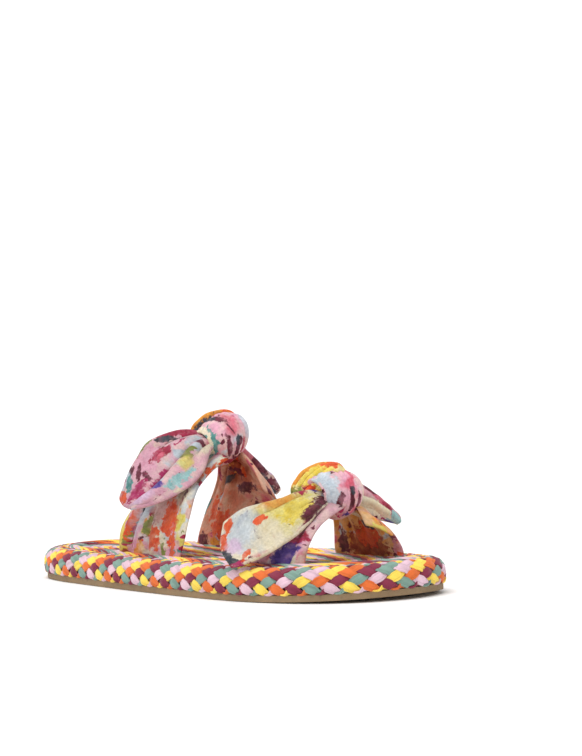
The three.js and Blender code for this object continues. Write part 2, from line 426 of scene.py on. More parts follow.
def cell_uvs(u, v, next_u, next_v):
    """The corners' uvs of four-sided cells, round each from its first corner."""
    return np.stack([np.column_stack([u, v]), np.column_stack([u, next_v]),
                     np.column_stack([next_u, next_v]), np.column_stack([next_u, v])], axis=1)


def tube_parts(path, facing, half_width, half_depth, around):
    """Points, faces and uvs of a flattened tube along a closed path, its flat face turned to facing."""
    ahead = unit(np.roll(path, -1, 0) - np.roll(path, 1, 0))
    side = unit(np.cross(ahead, facing))
    normal = unit(np.cross(side, ahead))
    angle = np.linspace(0, 2 * math.pi, around, endpoint=False)
    flat = np.sign(np.cos(angle)) * np.abs(np.cos(angle)) ** 0.8
    high = np.sign(np.sin(angle)) * np.abs(np.sin(angle)) ** 0.9
    # The strip of cloth is folded, and the fold shows as a groove.
    high = high * (1 - 0.3 * np.exp(-(((flat - 0.3) / 0.16) ** 2)))
    points = (path[:, None] + side[:, None] * (np.reshape(half_width, (-1, 1)) * flat)[..., None]
              + normal[:, None] * (half_depth * high)[None, :, None]).reshape(-1, 3)
    count = len(path)
    i, j = (grid.ravel() for grid in np.meshgrid(np.arange(count), np.arange(around), indexing="ij"))
    next_i, next_j = (i + 1) % count, (j + 1) % around
    faces = np.column_stack([i * around + j, next_i * around + j,
                             next_i * around + next_j, i * around + next_j])
    run = np.concatenate([[0], np.cumsum(np.linalg.norm(np.diff(path, axis=0), axis=1))]) / CM
    here, beyond = run[i], np.where(next_i == 0, run[-1] + run[1], run[next_i])
    return points, faces, cell_uvs(j / around, here, (j + 1) / around, beyond)


def smoothstep(value, low, high):
    t = np.clip((value - low) / (high - low), 0, 1)
    return t * t * (3 - 2 * t)


def grid_normals(grid):
    along = np.gradient(grid, axis=0)
    across = np.gradient(grid, axis=1)
    return unit(np.cross(across, along))


def grid_size(grid):
    """The largest width and length of a cloth grid, measured along the cloth."""
    return (np.linalg.norm(np.diff(grid, axis=1), axis=2).sum(1).max(),
            np.linalg.norm(np.diff(grid, axis=0), axis=2).sum(0).max())


def loft(knot, rails, along, across):
    """A grid of points, along by across, through rails that each run from the root to the end."""
    lines = np.array([spline(knot + np.array(rail, float), along) for rail in rails])
    return np.array([spline(lines[:, i], across) for i in range(along)])


# Height of the small waves all over a cloth.
RIPPLE = 0.35


def crease(grid, folds, seed):
    """Lifts a cloth grid along its normals, into folds and small waves.

    Each fold is its place across at the root and at the end, its width across, its height in
    millimetres and the stretch along the cloth that it covers.
    """
    rows, columns = grid.shape[:2]
    along = np.linspace(0, 1, rows)[:, None]
    across = np.linspace(0, 1, columns)[None, :]
    lift = np.zeros((rows, columns))
    for root, end, width, height, first, last in folds:
        middle = root + (end - root) * along
        fade = min(0.15, (last - first) / 2)
        window = smoothstep(along, first - 0.01, first + fade) * smoothstep(along, last + 0.01, last - fade)
        lift += height * window * np.exp(-(((across - middle) / width) ** 2))
    draw = np.random.default_rng(seed)
    for _ in range(7):
        waves, turn, phase = draw.uniform(2, 6), draw.uniform(0, math.pi), draw.uniform(0, 6.3)
        lift += RIPPLE / 7 * np.sin(
            2 * math.pi * waves * (across * math.cos(turn) + along * math.sin(turn)) + phase)
    return grid + grid_normals(grid) * lift[..., None]


def quads(index, flip):
    """Four-sided faces between the rows and columns of a table of point numbers."""
    a, b, c, d = index[:-1, :-1], index[:-1, 1:], index[1:, 1:], index[1:, :-1]
    ring = [a, d, c, b] if flip else [a, b, c, d]
    return np.stack(ring, axis=-1).reshape(-1, 4)


def pillow(name, grid, thickness, material, edge, turned):
    """A double layer of cloth on a grid: two faces that close on each other along a rounded edge.

    The dabs are painted on the face that the grid's normals leave, or on the other one if turned.
    A larger edge makes the rounding narrower.
    """
    rows, columns = grid.shape[:2]
    along = np.linspace(-1, 1, rows)[:, None]
    across = np.linspace(-1, 1, columns)[None, :]
    puff = np.sqrt((1 - np.abs(across) ** edge) * (1 - np.abs(along) ** (3 * edge)))
    lift = grid_normals(grid) * (thickness / 2 * puff)[..., None]
    if turned:
        lift = -lift
    top, bottom = grid + lift, grid - lift
    number = np.arange(rows * columns).reshape(rows, columns)
    lower = number.copy()
    inside = np.arange((rows - 2) * (columns - 2)).reshape(rows - 2, columns - 2)
    lower[1:-1, 1:-1] = rows * columns + inside
    points = np.vstack([top.reshape(-1, 3), bottom[1:-1, 1:-1].reshape(-1, 3)])

    width, length = grid_size(grid)
    uv = np.stack(np.meshgrid(np.linspace(0, length / CM, rows), np.linspace(0, width / CM, columns),
                              indexing="ij")[::-1], axis=-1).reshape(-1, 2)
    under = uv * (-1, 1)
    faces = np.vstack([quads(number, turned), quads(lower, not turned)])
    uvs = np.concatenate([uv[quads(number, turned)], under[quads(number, not turned)]])
    return make_mesh(name, points, faces.tolist(), uvs, material)


# -------- the plaits

STRANDS = [("sage", rgb(128, 158, 146)), ("lilac", rgb(224, 190, 204)), ("yellow", rgb(248, 216, 92)),
           ("orange", rgb(224, 112, 56)), ("burgundy", rgb(132, 50, 72))]
STRAND_CLOTH = {name: strand_cloth(f"strand_{name}", colour) for name, colour in STRANDS}

# The edge: strand sizes, and the band's way from its tuck under the side to the rim's inner side.
EDGE_TURNS = 14
EDGE_STEPS = 56
STRAND_HALF_WIDTH = 2.05
STRAND_HALF_DEPTH = 0.7
EDGE_LIFT = 0.6
EDGE_LOW = 3.7
EDGE_TUCK = 2.5
EDGE_TUCK_ROUND = 1.0
EDGE_SIDE_INSET = 1.8
EDGE_ROUND = 5.5
EDGE_TOP = 13.2
EDGE_BAND = 22.0


def rim(reach):
    """Inset, height and normal of the edge plaits' middle surface, where reach goes 0 to 1 across it.

    It is tucked in over the rubber, turns up the side and bends in over the rim.
    """
    upright = EDGE_TOP - EDGE_ROUND - EDGE_LOW - EDGE_TUCK_ROUND
    at = reach * EDGE_BAND - EDGE_TUCK
    low_turn = np.clip(at / EDGE_TUCK_ROUND, 0, math.pi / 2)
    climb = np.clip(at - EDGE_TUCK_ROUND * math.pi / 2, 0, upright)
    past = at - EDGE_TUCK_ROUND * math.pi / 2 - upright
    high_turn = np.clip(past / EDGE_ROUND, 0, math.pi / 2)
    inset = (EDGE_SIDE_INSET + EDGE_TUCK_ROUND * (1 - np.sin(low_turn)) - np.clip(at, None, 0)
             + EDGE_ROUND * (1 - np.cos(high_turn)) + np.clip(past - EDGE_ROUND * math.pi / 2, 0, None))
    height = EDGE_LOW + EDGE_TUCK_ROUND * (1 - np.cos(low_turn)) + climb + EDGE_ROUND * np.sin(high_turn)
    turn = low_turn + high_turn
    return inset, height, -np.sin(turn), -np.cos(turn)


# How much flatter a strand runs while it lies on top.
LEAF = 0.58


def plait_weave(phase):
    """Place across, 0 to 1, and lift, -1 to 1, of one strand of a flat plait of five."""
    sharp = 0.96
    across = 0.5 - 0.5 * np.arcsin(sharp * np.cos(2 * math.pi * phase)) / math.asin(sharp)
    across = across + 0.2 * LEAF / math.pi * np.sin(10 * math.pi * phase)
    crossings = np.array([-0.1, 0.1, 0.2, 0.3, 0.4, 0.6, 0.7, 0.8, 0.9, 1.1])
    lifts = np.array([-1, 1, -1, 1, -1, 1, -1, 1, -1, 1])
    turn = phase % 1.0
    index = np.clip(np.searchsorted(crossings, turn) - 1, 0, len(crossings) - 2)
    part = (turn - crossings[index]) / (crossings[index + 1] - crossings[index])
    ease = (1 - np.cos(math.pi * part)) / 2
    return across, lifts[index] + (lifts[index + 1] - lifts[index]) * ease


# Where each plait lies across the band, and the share of a turn by which its strands are shifted.
EDGE_PLAITS = {"side": (0.0, 0.58, 0.0), "rim": (0.56, 1.0, 0.37)}


def edge_plaits():
    """Two flat plaits of five closed strands, up the sole's side and over its rim."""
    count = EDGE_TURNS * EDGE_STEPS
    outer = inset_loop(RUBBER_INSET, count)
    into = inward(outer)
    turns = EDGE_TURNS * np.arange(count) / count
    for place, (low, high, shift) in EDGE_PLAITS.items():
        for number, (name, _) in enumerate(STRANDS):
            across, lift = plait_weave(turns - number / len(STRANDS) + shift)
            inset, height, out_in, out_up = rim(low + (high - low) * across)
            ground = outer + into * (inset - RUBBER_INSET)[:, None]
            normal = np.column_stack([into * out_in[:, None], out_up])
            path = np.column_stack([ground, height + spring(ground[:, 0])])
            path = path + normal * (EDGE_LIFT * lift)[:, None]
            half_width = STRAND_HALF_WIDTH * (1 + 0.08 * lift)
            points, faces, uvs = tube_parts(path, normal, half_width, STRAND_HALF_DEPTH, 18)
            piece = make_mesh(f"{place}_plait_{name}", points, faces.tolist(), uvs, STRAND_CLOTH[name])
            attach(piece, "sandal")
            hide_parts("edge_braid")


# The footbed: its rows from the edge to the middle, and how its strands sway and rise in a row.
ROW_WIDTH = 4.8
FOOTBED_START = 12.6
FOOTBED_END = 44.0
FOOTBED_TOP = 14.2
MIDDLE_ROW_INSET = 29.2
MIDDLE_ROW_HALF_WIDTH = 1.2
ROW_TURN = 34.0
ROW_STEPS = 26
ROW_SHIFT = 0.13
ROW_DEPTH = 2.1
ROW_SWAY = 1.5
ROW_RISE = 0.95
COIL_HALF_WIDTH = 1.7
COIL_HALF_DEPTH = 1.0


def middle_row():
    """A narrow loop along the footbed's middle line, halfway between the two sides of a long loop."""
    loop = inset_loop(MIDDLE_ROW_INSET, 400)
    ring = np.roll(loop, -loop[:, 0].argmin(), axis=0)
    halfway = (ring[:200] + ring[:-201:-1]) / 2
    aside = (0, MIDDLE_ROW_HALF_WIDTH)
    return np.vstack([halfway + aside, (halfway - aside)[::-1]])


def coil_rows():
    """The footbed's rows as loop, strand size and lift: each a row's width inside the last.

    The first stands a little proud beside the edge. The last fills the middle from just below.
    """
    insets = np.arange(FOOTBED_START + ROW_WIDTH / 2, FOOTBED_END, ROW_WIDTH)
    rows = [(inset_loop(inset, 400), 1.0, 0.0) for inset in insets]
    rows[0] = (rows[0][0], 1.3, 0.9)
    return rows + [(middle_row(), 1.0, -0.5)]


def coiled_strand(row, number, loop, size, lift):
    """One strand of one row of the footbed, as points, faces and uvs."""
    length = np.linalg.norm(np.diff(loop, axis=0), axis=1).sum()
    turns = max(3, round(length / ROW_TURN / size))
    count = turns * ROW_STEPS
    centre_line = spline(even(loop, 200, closed=True), count, closed=True)
    into = inward(centre_line)
    phase = 2 * math.pi * (turns * np.arange(count) / count - number / len(STRANDS) + ROW_SHIFT * row)
    sway, rise = np.cos(phase), np.sin(phase)
    ground = centre_line + into * (ROW_SWAY * size * sway)[:, None]
    height = FOOTBED_TOP - ROW_DEPTH + lift + ROW_RISE * size * rise + spring(ground[:, 0])
    facing = unit(np.column_stack([into * (0.8 * sway)[:, None], 0.35 + rise]))
    path = np.column_stack([ground, height])
    return tube_parts(path, facing, COIL_HALF_WIDTH * size, COIL_HALF_DEPTH, 10)


def footbed_plait():
    """Rows of plait set on edge and coiled, so that only the strands' turns show."""
    rows = coil_rows()
    for number, (name, _) in enumerate(STRANDS):
        parts = [coiled_strand(row, number, *each) for row, each in enumerate(rows)]
        starts = np.cumsum([0] + [len(points) for points, _, _ in parts])
        faces = np.vstack([faces + start for (_, faces, _), start in zip(parts, starts)])
        piece = make_mesh(f"footbed_plait_{name}", np.vstack([points for points, _, _ in parts]),
                          faces.tolist(), np.concatenate([uvs for _, _, uvs in parts]), STRAND_CLOTH[name])
        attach(piece, "sandal")
        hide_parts("footbed_coil")


# -------- the straps

STRAP_INSET = 16.1
STRAP_THICKNESS = 2.2
LOOP_THICKNESS = 1.8
STRAP_FOOT = 9.6
LEG_LINE = inset_loop(STRAP_INSET, 600)


def line_y(x, side):
    """Where the straps leave the footbed at x, on the lateral (-1) or medial (1) side."""
    half = LEG_LINE[LEG_LINE[:, 1] * side > 0]
    half = half[np.argsort(half[:, 0])]
    return np.interp(x, half[:, 0], half[:, 1])


def leg_grid(node, knot, side, bulge, rise_first, swell, top_width, lateness, droop,
             top_shift=0, skew=0, flare=0):
    """The arch of one strap leg: straight up out of the footbed, then in to the knot, narrowing.

    bulge, a y and a height, bends it over the foot, and rise_first is how far it starts straight up.
    It widens by swell on both sides and by flare on one before it narrows to top_width at the knot.
    More lateness narrows it later, and skew makes that differ from one edge to the other. droop
    lowers one edge at the top, and top_shift moves the whole top towards the toe.
    """
    low, high = corners(node)
    rows, columns = 56, 56
    across = np.linspace(-1, 1, columns)
    x_foot = (low[0] + high[0]) / 2 + across * (high[0] - low[0]) / 2
    y_foot = line_y(x_foot, side)
    middle_y = line_y((low[0] + high[0]) / 2, side)
    top = np.array([knot[1] + side * 4.0, knot[2] - 2.0])
    start = np.array([middle_y, STRAP_FOOT])
    up = start + (0, rise_first)
    t = np.linspace(0, 1, rows)[:, None]
    arch = ((1 - t) ** 3 * start + 3 * (1 - t) ** 2 * t * up + 3 * (1 - t) * t**2 * np.array(bulge)
            + t**3 * top)
    rise = np.clip((arch[:, 1] - STRAP_FOOT - 5) / (top[1] - STRAP_FOOT - 5), 0, 1)
    narrow = rise[:, None] ** (lateness * (1 + skew * across[None, :]))
    x_top = knot[0] + top_shift + across * top_width / 2
    x = x_foot * (1 - narrow) + x_top * narrow
    x = x + swell * across[None, :] * np.sin(math.pi * np.clip(rise * 1.4, 0, 1))[:, None]
    x = x + flare * np.clip(across, 0, None)[None, :] * np.sin(math.pi * (0.25 + 0.6 * rise))[:, None]
    y = arch[:, :1] + (y_foot - middle_y) * (1 - narrow)
    sag = np.where(across > 0, droop, 4.0) * across**2
    z = arch[:, 1:] + spring(x) - sag * rise[:, None] ** 1.5
    grid = np.stack([x, y, z], axis=-1)
    return grid if side < 0 else grid[:, ::-1]


def cloth_piece(name, node, grid, thickness, folds, material, seed, body="sandal", blend=None,
                edge=8.0, turned=False):
    """One folded piece of printed cloth, at the size of its grid."""
    outward = -1 if turned else 1
    folds = [(root, end, width, outward * height, *rest) for root, end, width, height, *rest in folds]
    folded = crease(grid, folds, seed)
    piece = pillow(name, folded, thickness, material, edge, turned)
    if blend is None:
        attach(piece, body)
    else:
        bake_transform(piece)
    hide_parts(node)


def gathers(count, height, first=0.45, last=1.0):
    """Evenly parted folds, such as where cloth is pulled into a knot."""
    places = np.linspace(0.1, 0.9, count)
    width = 0.28 * (places[1] - places[0])
    return [(place, place, width, height, first, last) for place in places]


REAR_LATERAL_LEG = [
    (AMBER, 0.05, 0.1, 5, 16, 0), (YELLOW, 0.06, 0.32, 4, 14, 4), (ORANGE, 0.17, 0.42, 2, 12, -8),
    (RUST, 0.12, 0.08, 5, 5, 0), (MIST, 0.3, 0.5, 6, 13, -8, "soft"), (SLATE, 0.25, 0.55, 2.5, 4, 0),
    (OLIVE, 0.44, 0.38, 3, 6, -10), (AMBER, 0.4, 0.12, 5, 8, 10), (BLUSH, 0.6, 0.52, 8, 12, 0, "soft"),
    (ORANGE, 0.78, 0.46, 6, 9, 20), (CREAM, 0.55, 0.1, 8, 9, 20, "soft"), (ORANGE, 0.6, 0.28, 5, 8, 30),
    (CREAM, 0.85, 0.75, 7, 12, 0, "soft"), (BURGUNDY, 0.9, 0.66, 2.5, 2, 0),
    (ORANGE, 0.92, 0.16, 2.5, 14, 10), (OLIVE, 0.8, 0.12, 1.6, 10, 15)]
FRONT_LATERAL_LEG = [
    (RUST, 0.05, 0.15, 6, 10, 0), (PINK, 0.3, 0.15, 7, 16, 0, "soft"), (BURGUNDY, 0.28, 0.05, 1.5, 6, -30),
    (PURPLE, 0.74, 0.2, 6, 13, -15), (SLATE, 0.9, 0.1, 3, 4, 0), (CRIMSON, 0.8, 0.5, 7, 4, 0),
    (CREAM, 0.87, 0.12, 1.6, 8, -10), (BLUSH, 0.97, 0.1, 2, 12, 0), (PINK, 0.7, 0.7, 7, 10, 0, "soft"),
    (BURGUNDY, 0.75, 0.66, 3, 1.6, 20)]
# The medial legs' outer faces have the same flowers; on their inner faces places across are negative.
MEDIAL_OUTER_FACE = [
    (PINK, 0.3, 0.5, 12, 16, 0, "soft"), (MIST, 0.7, 0.6, 8, 10, 0, "soft"), (ROSE, 0.5, 0.3, 6, 8, 10),
    (CRIMSON, 0.46, 0.34, 3, 4, 0), (BURGUNDY, 0.35, 0.58, 6, 2.4, 20), (TEAL, 0.75, 0.25, 3, 6, 10),
    (YELLOW, 0.22, 0.2, 5, 6, 0), (MAGENTA, 0.62, 0.76, 3, 6, -15), (ORANGE, 0.15, 0.75, 4, 5, 0),
    (SLATE, 0.3, 0.35, 2, 5, 30), (PURPLE, 0.85, 0.45, 3, 5, 0), (BURGUNDY, 0.6, 0.06, 6, 3, 0)]
REAR_MEDIAL_LEG = [
    (RUST, -0.55, 0.8, 14, 7, 0, "soft"), (ORANGE, -0.62, 0.3, 8, 9, 10), (RUST, -0.4, 0.24, 9, 7, -10),
    (ORANGE, -0.78, 0.45, 4, 8, 0), (ORANGE, -0.3, 0.36, 5, 6, 30), (BURGUNDY, -0.9, 0.14, 5, 5, 0),
    (BURGUNDY, -0.35, 0.66, 7, 2.5, 20), (SLATE, -0.62, 0.72, 5, 2, 30), (BURGUNDY, -0.2, 0.5, 6, 2, -20),
    (TEAL, -0.96, 0.48, 1.8, 5, 0), (MIST, -0.5, 0.05, 5, 5, 0, "soft"), (AMBER, -0.7, 0.12, 4, 4, 0),
    *MEDIAL_OUTER_FACE]
FRONT_MEDIAL_LEG = [
    (RUST, -0.5, 0.4, 16, 12, 0), (ORANGE, -0.45, 0.55, 8, 6, 0), (BURGUNDY, -0.85, 0.45, 4, 8, 0),
    (SLATE, -0.4, 0.7, 4, 2, 0), (BURGUNDY, -0.3, 0.1, 5, 4, 0), (OLIVE, -0.7, 0.06, 5, 4, 0),
    (CRIMSON, -0.15, 0.12, 4, 5, 0), (LEMON, -0.04, 0.85, 4, 6, 0), (BURGUNDY, -0.04, 0.62, 4, 4, 0),
    (PINK, -0.04, 0.42, 4, 6, 0), (ORANGE, -0.04, 0.16, 3, 8, 0),
    *MEDIAL_OUTER_FACE]

# Each leg: place, knot, side, how far its colour is darkened as painted shade, the seed and base of its
# print, its dabs, its folds and the shape that leg_grid makes.
LEGS = [
    ("rear_lateral", REAR, -1, 0.8, 3, None, REAR_LATERAL_LEG,
     [(0.16, 0.3, 0.04, -2.2, 0.02, 0.9), (0.08, 0.2, 0.07, 1.4, 0.02, 0.9),
      (0.5, 0.4, 0.04, -1.4, 0.02, 0.7), (0.62, 0.5, 0.08, 1.1, 0.02, 0.8),
      (0.85, 0.75, 0.06, -0.8, 0.02, 0.8)],
     {"bulge": (-25, 48), "rise_first": 12, "swell": 3.5, "top_width": 18, "lateness": 1.7, "droop": 4}),
    ("rear_medial", REAR, 1, 0.85, 9, SALMON, REAR_MEDIAL_LEG,
     [(0.4, 0.5, 0.08, 0.8, 0.1, 0.9), (0.7, 0.6, 0.07, -0.8, 0.1, 0.9)],
     {"bulge": (27, 46), "rise_first": 14, "swell": 1.5, "top_width": 30, "lateness": 2.2, "droop": 19,
      "top_shift": 3, "skew": 0.45, "flare": 12}),
    ("front_lateral", FRONT, -1, 0.8, 5, PINK, FRONT_LATERAL_LEG,
     [(0.45, 0.5, 0.07, -0.9, 0.02, 0.9), (0.6, 0.6, 0.08, 0.9, 0.02, 0.9),
      (0.82, 0.8, 0.05, -1.0, 0.02, 0.9)],
     {"bulge": (-22, 32), "rise_first": 12, "swell": 0.5, "top_width": 18, "lateness": 1.6, "droop": 4}),
    ("front_medial", FRONT, 1, 0.85, 12, AMBER, FRONT_MEDIAL_LEG,
     [(0.5, 0.5, 0.1, 0.6, 0.1, 0.9)],
     {"bulge": (24, 28), "rise_first": 3, "swell": 0.5, "top_width": 22, "lateness": 0.9, "droop": 12,
      "skew": -0.3, "flare": 6}),
]


def strap_legs():
    for place, knot, side, painted_shade_dim, seed, base, dabs, folds, shape in LEGS:
        node = f"{place}_strap_leg"
        grid = leg_grid(node, knot, side, **shape)
        cloth = print_cloth(f"print_{place}_leg", grid_size(grid), seed, dabs, base, painted_shade_dim)
        cloth_piece(f"{place}_leg_cloth", node, grid, STRAP_THICKNESS, folds + gathers(5, 0.9), cloth,
                    seed=seed)


# -------- the bows


REAR_NEAR_EAR_DABS = [
    (PINK, 0.25, 0.6, 8, 12, 0, "soft"), (CRIMSON, 0.07, 0.2, 5, 13, 0), (OLIVE, 0.0, 0.5, 3, 6, 0),
    (TEAL, 0.27, 0.12, 2.6, 8, -6), (SLATE, 0.16, 0.34, 1.8, 6, 25), (CRIMSON, 0.38, 0.45, 3.4, 6.5, 8),
    (ROSE, 0.42, 0.46, 1.6, 2.6, 0), (BURGUNDY, 0.06, 0.72, 5, 3, 20), (BURGUNDY, 0.3, 0.7, 6, 2, 40),
    (BURGUNDY, 0.5, 0.68, 5, 2, 0), (MIST, 0.12, 0.8, 5, 3, 30, "soft"), (TEAL, 0.26, 0.84, 7.5, 2.6, 32),
    (MIST, 0.12, 0.92, 5, 3, 20, "soft"), (ORANGE, 0.3, 0.98, 9, 4.2, 0), (MAGENTA, 0.56, 0.84, 4, 10, -22),
    (MAGENTA, 0.68, 0.6, 2.6, 8, -6), (PURPLE, 0.78, 0.68, 2.4, 4.6, -12),
    (LILAC, 0.86, 0.86, 3, 7, -6, "soft"), (AQUA, 0.92, 0.5, 3, 9, 0), (OLIVE, 0.7, 0.3, 3, 4, 0),
    (LEMON, 0.8, 0.38, 3, 4, 0, "soft"), (CREAM, 0.88, 0.14, 5, 7, 0, "soft"),
    (BURGUNDY, 0.7, 0.16, 1.8, 2.2, 0)]
REAR_FAR_EAR_DABS = [
    (ORANGE, 0.9, 0.15, 4, 8, 0), (ROSE, 0.3, 0.3, 4, 8, 0, "soft"), (BURGUNDY, 0.35, 0.5, 3, 5, 0),
    (SLATE, 0.8, 0.75, 3, 7, 0), (BURGUNDY, 0.3, 0.85, 3, 4, 0), (LILAC, 0.0, 0.6, 1.6, 16, 0)]
FRONT_NEAR_EAR_DABS = [
    (LEMON, 0.35, 0.4, 13, 16, 0, "soft"), (YELLOW, 0.55, 0.3, 7, 9, 10), (YELLOW, 0.72, 0.2, 4, 4, 0),
    (MIST, 0.4, 0.8, 11, 9, 0, "soft"), (CREAM, 0.6, 0.58, 7, 6, 0, "soft"),
    (ORANGE, 0.36, 0.62, 2.7, 3.2, 0), (AMBER, 0.1, 0.45, 3, 9, 0, "soft"),
    (ORANGE, 0.18, 0.93, 4, 2.4, 0), (ORANGE, 0.45, 0.97, 5, 1.8, 0), (LILAC, 0.62, 0.9, 4, 3.4, 0, "soft"),
    (SLATE, 0.8, 0.99, 5, 2.8, 0), (MAGENTA, 0.98, 0.93, 2, 5, 0), (ORANGE, 0.86, 0.84, 4, 1.2, 60),
    (BURGUNDY, 0.6, 0.06, 6, 5, 0), (BURGUNDY, 0.9, 0.22, 6, 5.6, 0), (BURGUNDY, 0.8, 0.1, 6, 5, 20),
    (MIST, 0.4, 0.0, 5, 2.6, 0), (CRIMSON, 0.0, 0.22, 2.5, 4, 0), (PURPLE, 0.0, 0.06, 2.5, 4, 0),
    (CREAM, 0.98, 0.5, 1.2, 22, 0)]
FRONT_FAR_EAR_DABS = [
    (PINK, 0.1, 0.45, 4, 18, 0, "soft"), (ROSE, 0.12, 0.5, 3, 7, 0), (BURGUNDY, 0.05, 0.35, 2, 4, 0),
    (CRIMSON, 0.2, 0.7, 2, 4, 0), (CREAM, 0.65, 0.4, 5, 12, 0), (AQUA, 0.6, 0.9, 7, 5, 0),
    (PURPLE, 0.95, 0.8, 1.6, 4, 0)]

# Each ear: place, knot, rails, thickness, dabs, base and seed of its print, and folds. The rails run
# from its root to its end, as offsets from its knot.
EARS = [
    ("rear_lateral", REAR, [
        [(-2, -8, 5), (-5, -12, 6.5), (-12, -16, 6.5), (-19, -22, 4.5), (-23, -29, 0), (-22, -37.5, -8.5),
         (-18, -45, -17), (-15.5, -49, -22.5)],
        [(1, -8, 3), (-1, -15, 3), (-4, -21, 1), (-8, -28, -4), (-10, -36, -12), (-11, -44, -19),
         (-11, -50, -25)],
        [(4, -8, 0), (8, -14, -3), (11.5, -20, -10), (11.5, -27, -16), (7, -36, -21.5), (0, -44, -25),
         (-6.5, -49, -26.5)]],
     3.4, REAR_NEAR_EAR_DABS, PINK, 21,
     [(0.05, 0.1, 0.1, 1.4, 0.0, 0.6), (0.24, 0.2, 0.05, -1.2, 0.0, 0.5),
      (0.5, 0.72, 0.035, -2.4, 0.0, 1.0), (0.6, 0.86, 0.07, 1.8, 0.0, 0.95),
      (0.74, 0.7, 0.05, -1.2, 0.0, 0.3), (0.4, 0.4, 0.06, 0.8, 0.0, 0.4)]),
    ("rear_medial", REAR, [
        [(-1, 8.5, 2), (1, 12, -2.5), (2.5, 16, -6.5), (4.5, 20, -11.5), (6, 23, -15), (7.5, 26, -20),
         (8, 26.5, -22.5)],
        [(0.5, 5.5, -1), (2, 9, -6), (3.5, 13, -10), (5.5, 16.5, -14.5), (7, 21, -19), (8, 25.5, -23.5)],
        [(-0.5, 4, -5), (1, 7, -8), (3, 11.5, -12.5), (4.5, 15.5, -17.5), (6.5, 20, -22.5),
         (7.5, 24.5, -24.5)]],
     2.6, REAR_FAR_EAR_DABS, BLUSH, 23,
     [(0.3, 0.3, 0.08, 0.8, 0.0, 0.6), (0.6, 0.6, 0.06, -0.9, 0.0, 0.7)]),
    ("front_lateral", FRONT, [
        [(-1, -8, 2), (-3, -15, 1.5), (-7, -22.5, 0.5), (-11, -27.5, -1), (-15, -31, -2), (-20, -38, -4.5),
         (-23, -45.5, -9.5)],
        [(2, -8, -1), (2, -16, -2), (0, -23, -4), (-4, -31, -9), (-9, -39, -14), (-16, -47.5, -19.5),
         (-18.5, -51, -20)],
        [(4, -8, -4), (6, -15, -6), (7, -21, -10.5), (5.5, -29, -16.5), (-0.5, -40, -23.5), (-6, -47, -27),
         (-10, -52, -28.5)]],
     2.4, FRONT_NEAR_EAR_DABS, CREAM, 25,
     [(0.12, 0.35, 0.05, -1.0, 0.0, 0.75), (0.06, 0.12, 0.08, 1.4, 0.0, 0.4),
      (0.55, 0.5, 0.06, -0.9, 0.0, 0.35), (0.8, 0.8, 0.08, 0.9, 0.0, 0.4)]),
    ("front_medial", FRONT, [
        [(-3.5, 10.5, 6), (-2, 14, 4.5), (0.5, 18.5, 1), (3, 25, -5), (4.5, 30, -10.5), (5, 32, -13.5)],
        [(-0.5, 7.5, -0.5), (1, 12.5, -3), (3, 17, -5.5), (4.5, 21.5, -8.5), (5.5, 26.5, -12),
         (5.5, 31.5, -14.5)],
        [(0.5, 6.5, -9), (1.5, 11.5, -11), (2.5, 15.5, -10.5), (3, 21, -13), (4, 26.5, -14.5),
         (4.5, 30.5, -15.5)]],
     2.2, FRONT_FAR_EAR_DABS, CREAM, 27,
     [(0.36, 0.36, 0.06, -1.6, 0.0, 0.9), (0.5, 0.5, 0.07, 1.0, 0.0, 0.9),
      (0.75, 0.7, 0.07, -0.6, 0.0, 0.7)]),
]

# Smaller layers under an ear.
UNDER_LAYERS = [
    ("rear_medial", REAR, [
        [(-2, 4, -6), (0, 9.5, -8.5), (0.5, 13.5, -11.5), (1.5, 16, -16.5)],
        [(-0.5, 2.5, -9), (1.5, 7.5, -11), (1.5, 11.5, -13.5), (2, 15, -16.5)],
        [(-1, 3, -11.5), (0, 7.5, -13.5), (1, 12, -16), (1, 15, -17.5)]],
     2.0, [(ORANGE, 0.6, 0.7, 4, 6, 0), (BURGUNDY, 0.9, 0.3, 2, 5, 0), (RUST, 0.2, 0.2, 3, 4, 0)],
     AMBER, 45, [(0.4, 0.4, 0.1, 0.8, 0.0, 0.8)]),
]


# Where an ear's bend would start and end, as shares of the way from its knot to its hinge; no bend is made
# from them.
BEND_START = 0.75
BEND_END = 1.35


def bow_ears():
    """The ears and the layers under them, each lofted from its rails and printed, fixed where they stand.
    """
    hinges = {joint["child"]: np.array(joint["pos_m"]) / MM for joint in frame["joints"]}
    layers = [("ear", ear) for ear in EARS] + [("ear_under", layer) for layer in UNDER_LAYERS]
    for kind, (place, knot, rails, thickness, dabs, base, seed, folds) in layers:
        grid = loft(knot, rails, along=60, across=44)
        # Every ear's print is darkened as painted shade.
        cloth = print_cloth(f"print_{place}_{kind}", grid_size(grid), seed, dabs, base, painted_shade_dim=0.8)
        hinge = hinges[f"{place}_ear"]
        start = knot + (hinge - knot) * BEND_START
        end = knot + (hinge - knot) * BEND_END
        cloth_piece(f"{place}_{kind}_cloth", f"{place}_bow_ear", grid, thickness, folds, cloth, seed,
                    body=f"{place}_ear", blend=(start, end), edge=5.0,
                    turned=place.endswith("lateral"))


